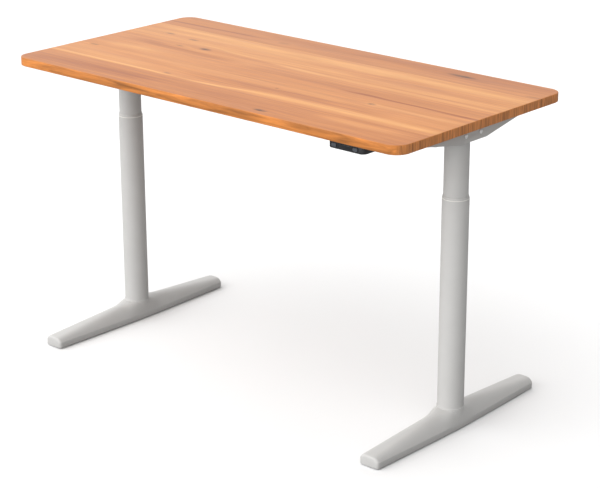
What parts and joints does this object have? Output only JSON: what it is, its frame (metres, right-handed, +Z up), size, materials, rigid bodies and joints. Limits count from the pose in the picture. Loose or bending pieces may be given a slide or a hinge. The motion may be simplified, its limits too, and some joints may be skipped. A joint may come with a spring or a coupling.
{
  "type": "height adjustable standing desk",
  "caption": "Electric height adjustable desk: plank wood worktop, two round telescopic columns on long cast feet, front handset.",
  "frame": {"origin": "on the floor, under the middle of the worktop", "axes": "+X along the worktop to the user's right, +Y away from the user, +Z up"},
  "size_m": [1.4, 0.7, 0.875],
  "materials": {
    "oiled_wood": "oiled solid wood, satin, long planks",
    "powder_coat": "light warm grey powder coat, fine texture",
    "zinc_steel": "bright zinc plating",
    "bright_steel": "plain turned steel",
    "cast_aluminium": "die-cast, plain",
    "motor_paint": "black electrophoretic paint",
    "black_plastic": "moulded ABS, fine texture",
    "gloss_black": "gloss smoked acrylic",
    "key_plastic": "soft matt key",
    "glide_plastic": "acetal, natural",
    "rubber": "matt rubber",
    "circuit_board": "green solder mask"
  },
  "bodies": {
    "left_leg": {"left_foot": "powder_coat", "left_foot_bolts": "zinc_steel", "left_foot_pads": "rubber", "left_lower_tube": "powder_coat", "left_base_plug": "bright_steel", "left_rim_collar": "powder_coat", "left_lower_glide": "glide_plastic", "left_nut_tube": "bright_steel", "left_spindle_nut": "glide_plastic"},
    "lifting_frame": {"worktop": "oiled_wood", "front_rail": "powder_coat", "rear_rail": "powder_coat", "rail_bolts": "zinc_steel", "control_box_shell": "black_plastic", "control_box_lid": "black_plastic", "control_board": "circuit_board", "mains_inlet": "black_plastic", "socket_strip": "black_plastic", "panel_screws": "zinc_steel", "handset_housing": "black_plastic", "handset_fascia": "gloss_black", "display_window": "gloss_black", "handset_board": "circuit_board", "left_upper_tube": "powder_coat", "left_upper_glide": "glide_plastic", "left_spindle_bearing": "bright_steel", "left_gearbox_housing": "cast_aluminium", "left_motor": "motor_paint", "left_column_head": "powder_coat", "left_side_bolts": "zinc_steel", "left_front_arm": "powder_coat", "left_rear_arm": "powder_coat", "left_worktop_screws": "zinc_steel", "right_upper_tube": "powder_coat", "right_upper_glide": "glide_plastic", "right_spindle_bearing": "bright_steel", "right_gearbox_housing": "cast_aluminium", "right_motor": "motor_paint", "right_column_head": "powder_coat", "right_side_bolts": "zinc_steel", "right_front_arm": "powder_coat", "right_rear_arm": "powder_coat", "right_worktop_screws": "zinc_steel"},
    "right_leg": {"right_foot": "powder_coat", "right_foot_bolts": "zinc_steel", "right_foot_pads": "rubber", "right_lower_tube": "powder_coat", "right_base_plug": "bright_steel", "right_rim_collar": "powder_coat", "right_lower_glide": "glide_plastic", "right_nut_tube": "bright_steel", "right_spindle_nut": "glide_plastic"},
    "left_spindle": {"left_spindle": "bright_steel", "left_bevel_gear": "bright_steel"},
    "left_motor_shaft": {"left_drive_pinion": "bright_steel"},
    "right_spindle": {"right_spindle": "bright_steel", "right_bevel_gear": "bright_steel"},
    "right_motor_shaft": {"right_drive_pinion": "bright_steel"},
    "up_key": {"up_key": "key_plastic"},
    "down_key": {"down_key": "key_plastic"}
  },
  "joints": [
    {"name": "left_lift", "type": "slide", "parent": "left_leg", "child": "lifting_frame", "axis": [0, 0, 1], "range_m": [-0.15, 0.31]},
    {"name": "right_lift", "type": "slide", "parent": "lifting_frame", "child": "right_leg", "axis": [0, 0, 1], "range_m": [-0.31, 0.15]},
    {"name": "left_spindle_turn", "type": "hinge", "parent": "lifting_frame", "child": "left_spindle", "pos_m": [-0.6087, 0.004, 0.826], "axis": [0, 0, 1], "range_deg": [-5401, 11162]},
    {"name": "right_spindle_turn", "type": "hinge", "parent": "lifting_frame", "child": "right_spindle", "pos_m": [0.6087, 0.004, 0.826], "axis": [0, 0, 1], "range_deg": [-5401, 11162]},
    {"name": "left_motor_turn", "type": "hinge", "parent": "lifting_frame", "child": "left_motor_shaft", "pos_m": [-0.6087, 0.004, 0.826], "axis": [1, 0, 0], "range_deg": [-10802, 22324]},
    {"name": "right_motor_turn", "type": "hinge", "parent": "lifting_frame", "child": "right_motor_shaft", "pos_m": [0.6087, 0.004, 0.826], "axis": [-1, 0, 0], "range_deg": [-10802, 22324]},
    {"name": "up_press", "type": "slide", "parent": "lifting_frame", "child": "up_key", "axis": [0, 1, 0], "range_m": [0, 0.001], "stiffness_N_per_m": 800},
    {"name": "down_press", "type": "slide", "parent": "lifting_frame", "child": "down_key", "axis": [0, 1, 0], "range_m": [0, 0.001], "stiffness_N_per_m": 800}
  ],
  "couplings": [
    {"joint": "right_lift", "follows": "left_lift", "ratio": -1},
    {"joint": "left_spindle_turn", "follows": "left_lift", "rad_per_m": 628.32},
    {"joint": "left_motor_turn", "follows": "left_lift", "rad_per_m": 1256.6},
    {"joint": "right_spindle_turn", "follows": "left_lift", "rad_per_m": 628.32},
    {"joint": "right_motor_turn", "follows": "left_lift", "rad_per_m": 1256.6}
  ]
}
